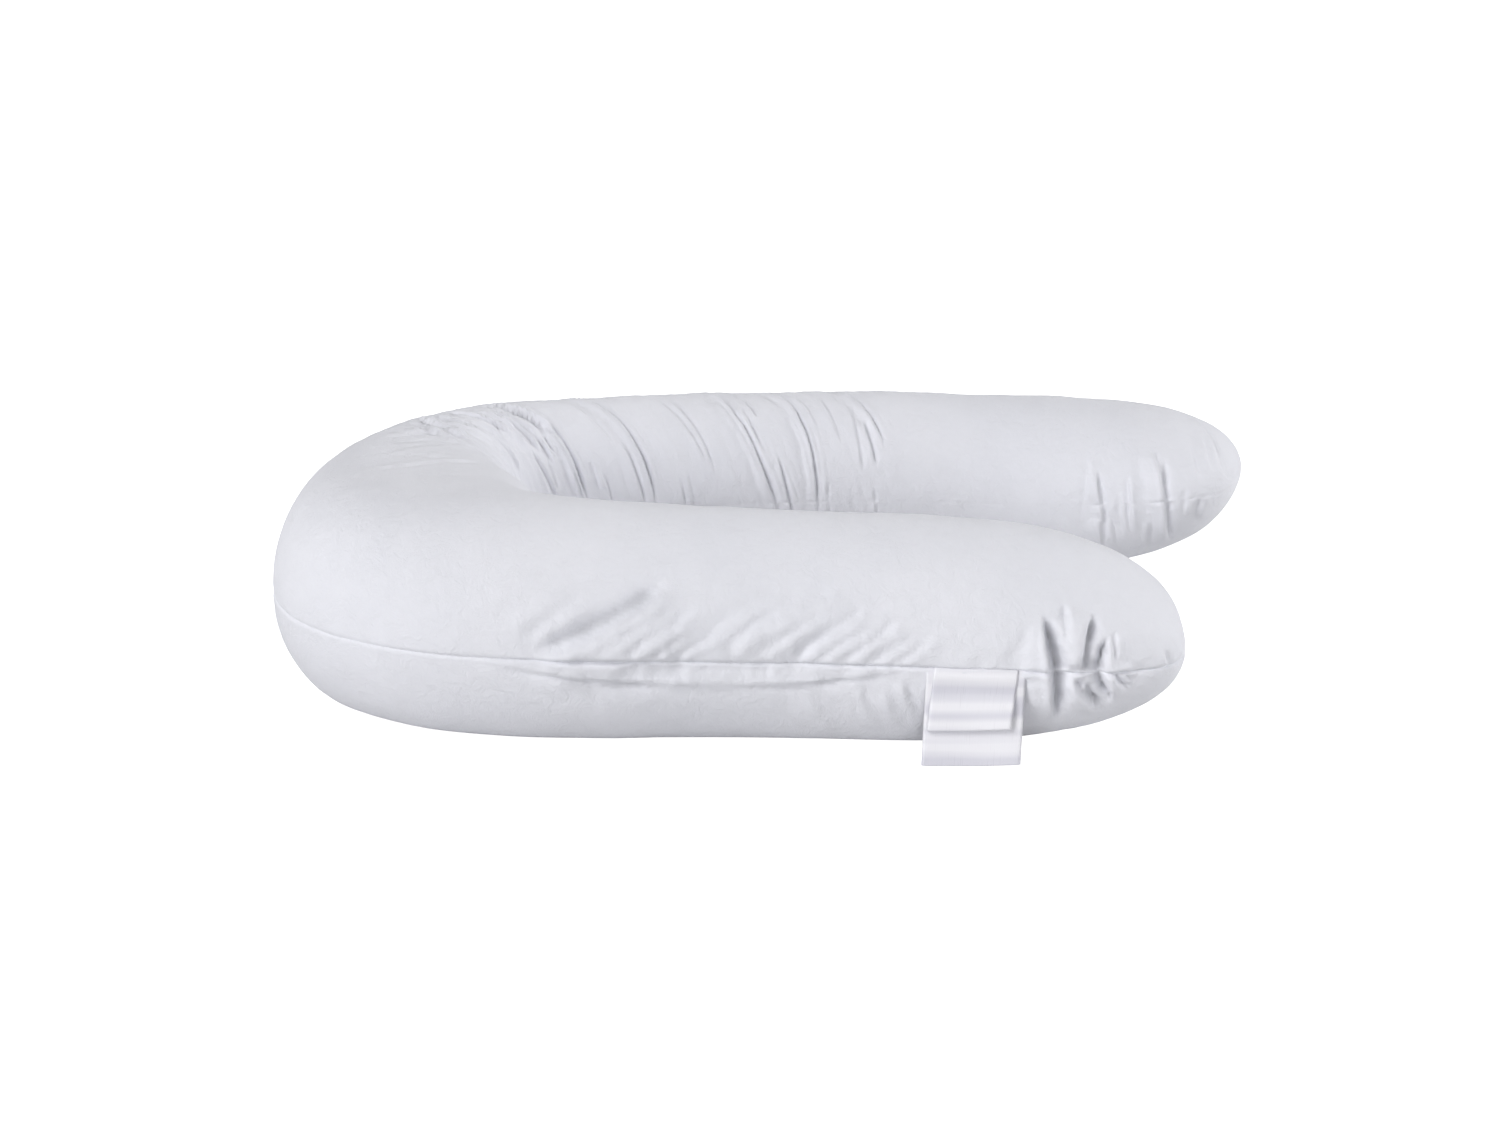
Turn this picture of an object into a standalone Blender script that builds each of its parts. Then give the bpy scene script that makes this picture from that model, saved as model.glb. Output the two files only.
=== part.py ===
"""A long stuffed pregnancy pillow lying on its side seams in an uneven U, with two cloth labels.

Lengths are in metres, +Z is up, and the middle of the whole thing's footprint is the origin.
The tube starts at the short front leg's tip, runs through the bend and ends at the long back leg's tip.
"""
import bpy
import numpy as np
from collections import namedtuple

# Each section stands square to the tube's middle line, at its distance along that line.
# The bend's inner side is pushed in by crowd_x and crowd_y and is squarer on top, with 2 for a plain oval.
Section = namedtuple("Section", "along x y half_width height crowd_x crowd_y square")
SECTIONS = [
    Section(0.00, 0.414, -0.324, 0.154, 0.239, 0.000, 0.000, 2.0),
    Section(0.15, 0.264, -0.321, 0.126, 0.239, 0.000, 0.000, 2.0),
    Section(0.30, 0.114, -0.313, 0.111, 0.239, 0.000, 0.000, 2.0),
    Section(0.45, -0.035, -0.302, 0.113, 0.240, 0.000, 0.000, 2.0),
    Section(0.60, -0.185, -0.296, 0.123, 0.246, 0.003, 0.002, 2.1),
    Section(0.75, -0.335, -0.284, 0.129, 0.250, 0.023, 0.020, 2.5),
    Section(0.90, -0.465, -0.214, 0.123, 0.250, 0.067, 0.064, 3.2),
    Section(1.05, -0.513, -0.075, 0.109, 0.251, 0.074, 0.058, 3.1),
    Section(1.20, -0.487, 0.071, 0.102, 0.251, 0.042, 0.015, 2.8),
    Section(1.35, -0.404, 0.194, 0.106, 0.247, 0.006, 0.003, 2.2),
    Section(1.50, -0.276, 0.272, 0.113, 0.240, 0.000, 0.000, 2.0),
    Section(1.65, -0.134, 0.319, 0.119, 0.235, 0.000, 0.000, 2.0),
    Section(1.80, 0.014, 0.345, 0.120, 0.232, 0.000, 0.000, 2.0),
    Section(1.95, 0.163, 0.347, 0.121, 0.231, 0.000, 0.000, 2.0),
    Section(2.10, 0.311, 0.327, 0.124, 0.231, 0.000, 0.000, 2.0),
    Section(2.25, 0.457, 0.290, 0.140, 0.252, 0.000, 0.000, 2.0),
    Section(2.405, 0.603, 0.238, 0.168, 0.289, 0.000, 0.000, 2.0),
]
TUBE_LENGTH = SECTIONS[-1].along

# The seams run round the outer and the inner side, at this share of the height.
SEAM_SHARE_FRONT = 0.43
SEAM_SHARE_BACK = 0.483
SEAM_GROOVE = 0.003
SEAM_WIDTH = 0.008

# The stuffed tube rests on a flat strip, this share of its width.
FLAT_SHARE = 0.45

# The ends close over this length, blunt in plan and rounder from the side.
FRONT_TIP = 0.353
FRONT_POWER_PLAN = 3.13
FRONT_POWER_SIDE = 2.36
BACK_TIP = 0.361
BACK_POWER_PLAN = 3.15
BACK_POWER_SIDE = 2.02

# Round the section, 0 is the outer seam, 90 the crown, 180 the inner seam and 270 the underside.
UPPER_DEGREES = [0, 5, 12, 22, 34, 47, 61, 76, 90, 104, 118, 131, 144, 156, 167, 175, 180]
LOWER_DEGREES = [6, 18, 34, 52, 71, 90]
ROUND_METRES = 0.12

# Each fold is a soft trough with a raised lip beside it, fading out at both ends.
# A lip above 0 rises on the side of the larger distance along, a lip below 0 on the other.
Fold = namedtuple("Fold", "from_along from_round to_along to_round bow width depth lip")
FOLDS = [
    # Puckers of the front tip, above and below the outer seam.
    Fold(0.162, 32, 0.149, -2, 0.000, 0.010, 0.0050, 0.0020),
    Fold(0.149, 2, 0.146, -38, 0.000, 0.010, 0.0045, 0.0015),
    Fold(0.110, 34, 0.117, 0, 0.002, 0.009, 0.0035, -0.0015),
    Fold(0.096, 22, 0.104, 0, 0.000, 0.009, 0.0045, -0.0020),
    Fold(0.104, 0, 0.089, -22, 0.002, 0.010, 0.0035, 0.0015),
    Fold(0.122, -3, 0.097, -30, 0.000, 0.012, 0.0030, 0.0015),
    # Slanting dips above the front leg's outer seam.
    Fold(0.684, 1, 0.556, 36, 0.006, 0.022, 0.0040, -0.0020),
    Fold(0.614, 1, 0.525, 23, 0.004, 0.018, 0.0030, -0.0015),
    Fold(0.486, 8, 0.410, 34, 0.004, 0.020, 0.0030, -0.0015),
    Fold(0.418, 3, 0.340, 24, 0.003, 0.018, 0.0025, -0.0015),
    # The tuck that runs along just under the front leg's seam.
    Fold(0.690, -4, 0.310, -4, -0.018, 0.012, 0.0030, 0.0015),
    # Long shallow wrinkles on the bend's top.
    Fold(1.047, 98, 1.256, 125, 0.003, 0.016, 0.0025, 0.0015),
    Fold(0.985, 96, 1.245, 143, 0.004, 0.016, 0.0025, 0.0010),
    # Gathers that fan out where the bend passes into the back leg.
    Fold(1.237, 86, 1.274, 128, -0.008, 0.012, 0.0035, 0.0020),
    Fold(1.289, 92, 1.341, 124, -0.006, 0.012, 0.0040, 0.0025),
    Fold(1.266, 129, 1.305, 152, 0.001, 0.012, 0.0045, 0.0020),
    Fold(1.340, 92, 1.415, 130, 0.006, 0.013, 0.0040, 0.0025),
    Fold(1.368, 142, 1.393, 167, 0.000, 0.012, 0.0045, 0.0020),
    # Creases that run from the crown down the inner side of the back leg.
    Fold(1.383, 92, 1.452, 172, 0.007, 0.015, 0.0080, 0.0035),
    Fold(1.485, 92, 1.561, 177, 0.014, 0.014, 0.0070, 0.0030),
    Fold(1.484, 108, 1.510, 144, 0.002, 0.013, 0.0030, 0.0015),
    Fold(1.607, 94, 1.655, 160, 0.001, 0.013, 0.0030, 0.0015),
    Fold(1.679, 92, 1.752, 184, -0.001, 0.015, 0.0075, 0.0030),
    Fold(1.703, 92, 1.727, 141, 0.001, 0.012, 0.0055, 0.0020),
    Fold(1.752, 155, 1.771, 186, 0.000, 0.013, 0.0055, 0.0020),
    Fold(1.760, 94, 1.810, 186, 0.013, 0.014, 0.0065, 0.0030),
    Fold(1.826, 102, 1.850, 140, 0.000, 0.012, 0.0030, 0.0015),
    Fold(1.857, 92, 1.914, 141, 0.003, 0.014, 0.0060, 0.0025),
    Fold(1.888, 128, 1.901, 156, 0.000, 0.012, 0.0045, 0.0020),
    # Puckers of the back tip, across the inner seam.
    Fold(2.232, 160, 2.246, 200, 0.002, 0.011, 0.0040, -0.0020),
    Fold(2.318, 146, 2.328, 232, 0.008, 0.013, 0.0050, 0.0020),
    Fold(2.274, 166, 2.280, 204, 0.000, 0.010, 0.0030, 0.0015),
    Fold(2.346, 84, 2.386, 128, 0.004, 0.016, 0.0035, 0.0020),
]

LABEL_CLOTH = 0.001
LABEL_FOLD = 0.0013
LABEL_ALONG = 0.229
LABEL_TUCK = 0.0015
LABEL_SET_IN = 0.0007


def spline(knots, values):
    """A smooth curve through the values, straight at both ends, as a function of the distance."""
    knots = np.array(knots, float)
    values = np.array(values, float)
    step = np.diff(knots)
    count = len(knots)
    left = np.eye(count)
    right = np.zeros(count)
    for row in range(1, count - 1):
        left[row, row - 1] = step[row - 1]
        left[row, row] = 2 * (step[row - 1] + step[row])
        left[row, row + 1] = step[row]
        slopes = (values[row + 1] - values[row]) / step[row] - (values[row] - values[row - 1]) / step[row - 1]
        right[row] = 6 * slopes
    bend = np.linalg.solve(left, right)

    def at(where):
        where = np.asarray(where, float)
        part = np.clip(np.searchsorted(knots, where) - 1, 0, count - 2)
        ahead = knots[part + 1] - where
        behind = where - knots[part]
        span = step[part]
        curve = (bend[part] * ahead**3 + bend[part + 1] * behind**3) / (6 * span)
        curve += (values[part] / span - bend[part] * span / 6) * ahead
        curve += (values[part + 1] / span - bend[part + 1] * span / 6) * behind
        return curve

    return at


def column(name):
    return spline([row.along for row in SECTIONS], [getattr(row, name) for row in SECTIONS])


LINE_X = column("x")
LINE_Y = column("y")
HALF_WIDTH = column("half_width")
HEIGHT = column("height")
CROWD_X = column("crowd_x")
CROWD_Y = column("crowd_y")
SQUARE = column("square")


def outward(along):
    """The level direction from the middle line to the outer seam."""
    dx = LINE_X(along + 0.002) - LINE_X(along - 0.002)
    dy = LINE_Y(along + 0.002) - LINE_Y(along - 0.002)
    length = np.hypot(dx, dy)
    return -dy / length, dx / length


def closing(distance, length, power):
    """The share of the full width or height at this distance from a tip."""
    left = 1 - np.clip(distance / length, 0, 1)
    return (1 - left**power) ** (1 / power)


def tip_shares(along):
    back = TUBE_LENGTH - along
    plan = closing(along, FRONT_TIP, FRONT_POWER_PLAN) * closing(back, BACK_TIP, BACK_POWER_PLAN)
    side = closing(along, FRONT_TIP, FRONT_POWER_SIDE) * closing(back, BACK_TIP, BACK_POWER_SIDE)
    return plan, side


def seam_height(along):
    share = SEAM_SHARE_FRONT + (SEAM_SHARE_BACK - SEAM_SHARE_FRONT) * along / TUBE_LENGTH
    return share * HEIGHT(along)


def stations():
    """Distances along the tube, close together at the tips and in the creased stretch."""
    turn = np.radians(np.linspace(5, 90, 23))
    front = FRONT_TIP * (1 - np.cos(turn) ** (2 / FRONT_POWER_PLAN))
    back = TUBE_LENGTH - BACK_TIP * (1 - np.cos(turn[::-1]) ** (2 / BACK_POWER_PLAN))
    plain = np.arange(FRONT_TIP + 0.018, 1.20, 0.018)
    creased = np.arange(1.21, 1.93, 0.0085)
    rest = np.arange(1.945, TUBE_LENGTH - BACK_TIP - 0.01, 0.018)
    return np.concatenate([front, plain, creased, rest, back])


def oval_swell(angle, square):
    """How far beyond a plain oval a squarer one reaches, at each angle of each section."""
    power = square[:, None]
    return (np.abs(np.cos(angle))**power + np.abs(np.sin(angle))**power) ** (-1 / power)


def section_grid(along):
    """Points of every section, with the angle round the section of each."""
    upper = np.radians(UPPER_DEGREES)
    lower = np.radians(LOWER_DEGREES)
    plan, side = tip_shares(along)
    width = HALF_WIDTH(along) * plan
    flat = FLAT_SHARE * width * side
    seam = seam_height(along)
    crown = (HEIGHT(along) - seam) * side
    depth = seam * side
    swell = np.where(upper > np.pi / 2, oval_swell(upper, SQUARE(along)), 1)
    over = width[:, None] * np.cos(upper) * swell
    over_z = seam[:, None] + crown[:, None] * np.sin(upper) * swell
    under = flat[:, None] + np.outer(width - flat, np.cos(lower))
    under_z = seam[:, None] - np.outer(depth, np.sin(lower))
    middle = np.zeros((len(along), 1))
    offset = np.hstack([over, -under, middle, under[:, ::-1]])
    z = np.hstack([over_z, under_z, (seam - depth)[:, None], under_z[:, ::-1]])
    angle = np.concatenate([upper, np.pi + lower, [1.5 * np.pi], 2 * np.pi - lower[::-1]])
    out_x, out_y = outward(along)
    inner_share = np.clip(-offset / width[:, None], 0, 1)
    x = LINE_X(along)[:, None] + out_x[:, None] * offset + CROWD_X(along)[:, None] * inner_share
    y = LINE_Y(along)[:, None] + out_y[:, None] * offset + CROWD_Y(along)[:, None] * inner_share
    return np.stack([x, y, z], axis=2), angle


def fold_push(along, angle):
    """How far the folds push the cloth out, at every point of the grid."""
    push = np.zeros((len(along), len(angle)))
    for fold in FOLDS:
        start = np.radians(fold.from_round) * ROUND_METRES
        end = np.radians(fold.to_round) * ROUND_METRES
        run = np.array([fold.to_along - fold.from_along, end - start])
        length = np.hypot(run[0], run[1])
        run = run / length
        turned = np.where(angle - np.radians(fold.from_round) > np.pi, angle - 2 * np.pi, angle)
        across = turned * ROUND_METRES - start
        distance = (along - fold.from_along)[:, None]
        travel = (distance * run[0] + across[None, :] * run[1]) / length
        side = distance * run[1] - across[None, :] * run[0]
        side = side * np.sign(run[1] if abs(run[1]) > abs(run[0]) else -run[0])
        side = side - fold.bow * 4 * travel * (1 - travel)
        fade = np.clip(np.minimum(travel, 1 - travel) / 0.22 + 0.3, 0, 1)
        fade = fade * fade * (3 - 2 * fade)
        trough = np.exp(-((side / (0.5 * fold.width)) ** 2))
        beside = side - np.sign(fold.lip) * fold.width
        ridge = np.exp(-((beside / (0.6 * fold.width)) ** 2))
        push += fade * (abs(fold.lip) * ridge - fold.depth * trough)
    return push


def seam_push(angle):
    groove = np.zeros(len(angle))
    for seam in (0, np.pi, 2 * np.pi):
        groove -= SEAM_GROOVE * np.exp(-(((angle - seam) * ROUND_METRES / SEAM_WIDTH) ** 2))
    return groove


def surface_normals(grid):
    lengthwise = np.gradient(grid, axis=0)
    closed = np.concatenate([grid[:, -1:], grid, grid[:, :1]], axis=1)
    crosswise = closed[:, 2:] - closed[:, :-2]
    normals = np.cross(crosswise, lengthwise)
    return normals / np.linalg.norm(normals, axis=2, keepdims=True)


def pillow_points():
    along = stations()
    grid, angle = section_grid(along)
    push = fold_push(along, angle) + seam_push(angle)[None, :]
    plan, side = tip_shares(along)
    push *= np.clip(plan * 1.3, 0, 1)[:, None]
    normals = surface_normals(grid)
    middle = grid.mean(axis=1, keepdims=True)
    facing = np.sign(np.sum(normals * (grid - middle), axis=2, keepdims=True))
    resting = grid[:, :, 2:] < 0.0005
    moved = grid + np.where(resting, 0, normals * facing * push[:, :, None])
    moved[:, :, 2] = np.maximum(moved[:, :, 2], 0)
    return along, moved


def paint(obj, name, colour, roughness):
    material = bpy.data.materials.new(name)
    material.use_nodes = True
    shader = material.node_tree.nodes["Principled BSDF"]
    shader.inputs["Base Color"].default_value = (*colour, 1.0)
    shader.inputs["Roughness"].default_value = roughness
    shader.inputs["Metallic"].default_value = 0.0
    obj.data.materials.append(material)


def make_pillow(home):
    """One closed loft between the sections, with a point at each tip."""
    along, grid = pillow_points()
    rows, around = grid.shape[:2]
    points = [tuple(point) for point in grid.reshape(-1, 3)]
    tips = []
    for where in (0.0, TUBE_LENGTH):
        points.append((float(LINE_X(where)), float(LINE_Y(where)), float(seam_height(where))))
        tips.append(len(points) - 1)
    faces = []
    for row in range(rows - 1):
        for turn in range(around):
            after = (turn + 1) % around
            faces.append((row * around + turn, row * around + after,
                          (row + 1) * around + after, (row + 1) * around + turn))
    last = (rows - 1) * around
    for turn in range(around):
        after = (turn + 1) % around
        faces.append((tips[0], after, turn))
        faces.append((tips[1], last + turn, last + after))
    mesh = bpy.data.meshes.new("pillow")
    mesh.from_pydata(points, [], faces)
    mesh.update()
    pillow = bpy.data.objects.new("pillow", mesh)
    home.objects.link(pillow)
    paint(pillow, "soft_white_cloth", (0.80, 0.81, 0.84), 0.85)
    for face in mesh.polygons:
        face.use_smooth = True
    return pillow


def seam_point(along):
    """A point of the outer seam seen from above."""
    out_x, out_y = outward(along)
    reach = HALF_WIDTH(along) * tip_shares(along)[0]
    return np.array([LINE_X(along) + out_x * reach, LINE_Y(along) + out_y * reach])


def hanging_line(length, lean, steps):
    """Points and outward normals of a strip that drops from the seam and swings out."""
    share = np.linspace(0, 1, steps + 1)
    tuck = LABEL_TUCK * np.clip(1 - share * length / 0.010, 0, 1) ** 2
    out = lean * share**1.7 - tuck
    down = -length * share
    slope_out = np.gradient(out)
    slope_down = np.gradient(down)
    size = np.hypot(slope_out, slope_down)
    return np.stack([out, down], 1), np.stack([-slope_down / size, slope_out / size], 1)


def make_label(home, name, width, length, lean, layer):
    """A ribbon folded into a loop, its two ends at the seam and its fold hanging down."""
    spots = np.linspace(LABEL_ALONG - width / 2, LABEL_ALONG + width / 2, 21)
    seam = np.array([seam_point(spot) for spot in spots])
    run = (seam[0] - seam[-1]) / np.linalg.norm(seam[0] - seam[-1])
    out = np.array([run[1], -run[0]])
    bulge = float(np.max((seam - seam[0]) @ out))
    middle = (seam[0] + seam[-1]) / 2 + out * (bulge - LABEL_SET_IN + LABEL_CLOTH / 2 + layer)
    line, normal = hanging_line(length, lean, 10)
    inner = [tuple(point) for point in line]
    centre = line[-1] + normal[-1] * LABEL_FOLD
    ahead = np.array([normal[-1][1], -normal[-1][0]])
    turned = []
    for step in range(1, 6):
        angle = np.pi * step / 6
        turned.append(tuple(centre - normal[-1] * LABEL_FOLD * np.cos(angle) + ahead * LABEL_FOLD * np.sin(angle)))
    outer = [tuple(point) for point in (line + normal * 2 * LABEL_FOLD)[::-1]]
    curve = bpy.data.curves.new(name, "CURVE")
    curve.dimensions = "2D"
    curve.extrude = width / 2
    ribbon = curve.splines.new("POLY")
    path = inner + turned + outer
    ribbon.points.add(len(path) - 1)
    for point, place in zip(ribbon.points, path):
        point.co = (place[0], place[1], 0.0, 1.0)
    label = bpy.data.objects.new(name, curve)
    home.objects.link(label)
    label.location = (middle[0], middle[1], float(seam_height(LABEL_ALONG)) + 0.0015)
    label.rotation_euler = (np.pi / 2, 0.0, float(np.arctan2(out[1], out[0])))
    cloth = label.modifiers.new("cloth", "SOLIDIFY")
    cloth.thickness = LABEL_CLOTH
    cloth.offset = 0.0
    paint(label, name + "_satin", (0.86, 0.86, 0.88), 0.45)
    return label


def main():
    for old in list(bpy.data.objects):
        bpy.data.objects.remove(old, do_unlink=True)
    home = bpy.data.collections.new("pregnancy_pillow")
    bpy.context.scene.collection.children.link(home)
    make_pillow(home)
    make_label(home, "label_long", 0.104, 0.098, 0.016, 0.0)
    make_label(home, "label_short", 0.088, 0.059, 0.024, 0.0045)


main()
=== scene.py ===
"""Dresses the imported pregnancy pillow: stuffed white cloth with its creases and seam, satin labels, pale studio."""
from collections import namedtuple

import bpy
import numpy as np
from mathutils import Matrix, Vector, noise


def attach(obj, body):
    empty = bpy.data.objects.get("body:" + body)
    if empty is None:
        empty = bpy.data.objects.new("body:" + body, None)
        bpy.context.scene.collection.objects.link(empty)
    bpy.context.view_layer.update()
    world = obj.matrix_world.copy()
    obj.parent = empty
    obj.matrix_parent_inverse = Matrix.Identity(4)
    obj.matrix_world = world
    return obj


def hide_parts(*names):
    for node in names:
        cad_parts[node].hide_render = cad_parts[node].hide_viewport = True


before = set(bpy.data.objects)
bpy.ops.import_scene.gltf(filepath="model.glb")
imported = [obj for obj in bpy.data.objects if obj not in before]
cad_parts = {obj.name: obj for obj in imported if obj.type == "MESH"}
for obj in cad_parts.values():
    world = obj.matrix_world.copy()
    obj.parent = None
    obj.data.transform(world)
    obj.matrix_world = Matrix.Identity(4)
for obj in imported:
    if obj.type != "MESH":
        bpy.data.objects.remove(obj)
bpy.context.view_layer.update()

bl_info = {
    "name": "Pregnancy Pillow",
    "version": (1, 0, 0),
    "blender": (4, 5, 0),
    "location": "View3D > Sidebar > Pillow",
    "description": "Makes a long stuffed pillow lying in a U, with its sewn labels, on a pale studio floor",
    "category": "Add Mesh",
}

# The tube's middle line, half width and height, from the short leg's tip round the bend to the long leg's tip.
# The bend's inner side is pushed in by crowd_x and crowd_y and is squarer on top, with 2 for a plain oval.
Section = namedtuple("Section", "along x y half_width height crowd_x crowd_y square")
SECTIONS = [
    Section(0.00, 0.414, -0.324, 0.154, 0.239, 0.000, 0.000, 2.0),
    Section(0.15, 0.264, -0.321, 0.126, 0.239, 0.000, 0.000, 2.0),
    Section(0.30, 0.114, -0.313, 0.111, 0.239, 0.000, 0.000, 2.0),
    Section(0.45, -0.035, -0.302, 0.113, 0.240, 0.000, 0.000, 2.0),
    Section(0.60, -0.185, -0.296, 0.123, 0.246, 0.003, 0.002, 2.1),
    Section(0.75, -0.335, -0.284, 0.129, 0.250, 0.023, 0.020, 2.5),
    Section(0.90, -0.465, -0.214, 0.123, 0.250, 0.067, 0.064, 3.2),
    Section(1.05, -0.513, -0.075, 0.109, 0.251, 0.074, 0.058, 3.1),
    Section(1.20, -0.487, 0.071, 0.102, 0.251, 0.042, 0.015, 2.8),
    Section(1.35, -0.404, 0.194, 0.106, 0.247, 0.006, 0.003, 2.2),
    Section(1.50, -0.276, 0.272, 0.113, 0.240, 0.000, 0.000, 2.0),
    Section(1.65, -0.134, 0.319, 0.119, 0.235, 0.000, 0.000, 2.0),
    Section(1.80, 0.014, 0.345, 0.120, 0.232, 0.000, 0.000, 2.0),
    Section(1.95, 0.163, 0.347, 0.121, 0.231, 0.000, 0.000, 2.0),
    Section(2.10, 0.311, 0.327, 0.124, 0.231, 0.000, 0.000, 2.0),
    Section(2.25, 0.457, 0.290, 0.140, 0.252, 0.000, 0.000, 2.0),
    Section(2.405, 0.603, 0.238, 0.168, 0.289, 0.000, 0.000, 2.0),
]
TUBE_LENGTH = SECTIONS[-1].along

# The seam's share of the height at either tip, and the share of the width that lies flat on the floor.
SEAM_SHARE_FRONT = 0.43
SEAM_SHARE_BACK = 0.483
FLAT_SHARE = 0.45

# The length over which each tip closes, and how blunt it is from above and from the side.
FRONT_TIP = 0.353
FRONT_POWER_PLAN = 3.13
FRONT_POWER_SIDE = 2.36
BACK_TIP = 0.361
BACK_POWER_PLAN = 3.15
BACK_POWER_SIDE = 2.02

# Stretches along the tube in which rings stand close together.
FRONT_PUCKERS_END = 0.19
LEG_DIPS_END = 0.71
CREASES_START = 1.15
CREASES_END = 1.93
BACK_PUCKERS_LENGTH = 0.20

# Round the section, 0 is the outer seam, 90 the crown, 180 the inner seam and 270 the underside.
# Each radian stands for this much cloth, and each quarter has this many steps beside those at the seam.
ROUND_METRES = 0.12
UPPER_STEPS = 32
LOWER_STEPS = 16
BESIDE_SEAM_DEGREES = (0.0, 0.5, 1.0, 1.6, 2.4, 3.5, 4.9, 6.7)
FIRST_STEP_DEGREES = 8.9

# A ring's upper points crowd, by this many radians, to the outer side in the front leg and to the inner side
# from the bend on. The change runs from one of these distances to the other.
CROWDING = 0.36
CROWDING_FROM = 0.62
CROWDING_TO = 1.00

# A fold runs between two places on the cloth. It is a trough with a raised lip beside it, towards the larger
# distance along the tube where lip is above 0. taper widens it towards its second end, or its first where below 0.
Fold = namedtuple("Fold", "from_along from_round to_along to_round bow width depth lip taper")
TIP_PUCKERS = [
    Fold(0.162, 29, 0.149, 0.5, -0.001, 0.0058, 0.0171, 0.0067, 0.5),
    Fold(0.157, 27, 0.142, 0.5, 0.000, 0.0090, 0.0052, -0.0027, 0.2),
    Fold(0.149, 0, 0.145, -38, 0.000, 0.0058, 0.0161, 0.0062, -0.4),
    Fold(0.142, 0, 0.137, -26, 0.000, 0.0090, 0.0046, -0.0021, -0.4),
    Fold(0.110, 32, 0.118, 0.5, 0.004, 0.0075, 0.0114, 0.0076, 0.3),
    Fold(0.096, 21, 0.104, 0.5, 0.001, 0.0055, 0.0166, -0.0062, 0.5),
    Fold(0.104, 0, 0.086, -26, 0.003, 0.0060, 0.0155, -0.0049, -0.4),
    Fold(0.129, -3, 0.092, -34, 0.005, 0.0065, 0.0089, 0.0049, 0.0),
    Fold(0.116, -8, 0.098, -30, 0.004, 0.0055, 0.0062, 0.0032, 0.0),
    Fold(0.088, -1, 0.071, -18, 0.001, 0.0045, 0.0064, 0.0027, -0.4),
    Fold(0.078, 0, 0.066, -11, 0.001, 0.0040, 0.0031, 0.0018, -0.4),
    Fold(0.140, 36, 0.139, 14, 0.000, 0.0058, 0.0044, -0.0030, 0.0),
    Fold(0.088, 25, 0.090, 8, 0.000, 0.0045, 0.0031, -0.0018, 0.0),
    Fold(0.034, 16, 0.026, 0, 0.000, 0.0045, 0.0046, 0.0020, 0.5),
    Fold(0.020, 12, 0.014, -2, 0.000, 0.0040, 0.0037, 0.0016, 0.4),
    Fold(2.231, 158, 2.247, 198, 0.001, 0.0046, 0.0056, -0.0028, 0.0),
    Fold(2.243, 216, 2.240, 192, 0.001, 0.0050, 0.0040, -0.0028, 0.4),
    Fold(2.213, 150, 2.214, 178, 0.001, 0.0070, 0.0015, 0.0011, 0.0),
    Fold(2.252, 190, 2.262, 214, 0.001, 0.0046, 0.0028, -0.0013, 0.0),
    Fold(2.272, 160, 2.281, 204, 0.001, 0.0050, 0.0037, 0.0020, 0.0),
    Fold(2.262, 176, 2.268, 206, 0.000, 0.0065, 0.0022, 0.0016, 0.0),
    Fold(2.318, 144, 2.331, 232, 0.007, 0.0062, 0.0065, -0.0040, 0.0),
    Fold(2.310, 196, 2.304, 232, 0.001, 0.0060, 0.0030, -0.0016, 0.0),
    Fold(2.305, 140, 2.324, 170, 0.003, 0.0050, 0.0040, -0.0020, 0.0),
    Fold(2.352, 168, 2.350, 200, 0.001, 0.0055, 0.0021, 0.0013, 0.0),
    Fold(2.373, 178, 2.366, 216, 0.000, 0.0048, 0.0040, 0.0022, 0.0),
    Fold(2.371, 103, 2.402, 158, 0.002, 0.0055, 0.0032, -0.0022, 0.0),
    Fold(2.346, 83, 2.389, 126, 0.003, 0.0060, 0.0032, -0.0022, 0.0),
    Fold(2.360, 112, 2.384, 150, 0.002, 0.0045, 0.0022, -0.0014, 0.0),
    Fold(2.350, 126, 2.370, 160, 0.001, 0.0045, 0.0018, -0.0012, 0.0),
]
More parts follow.
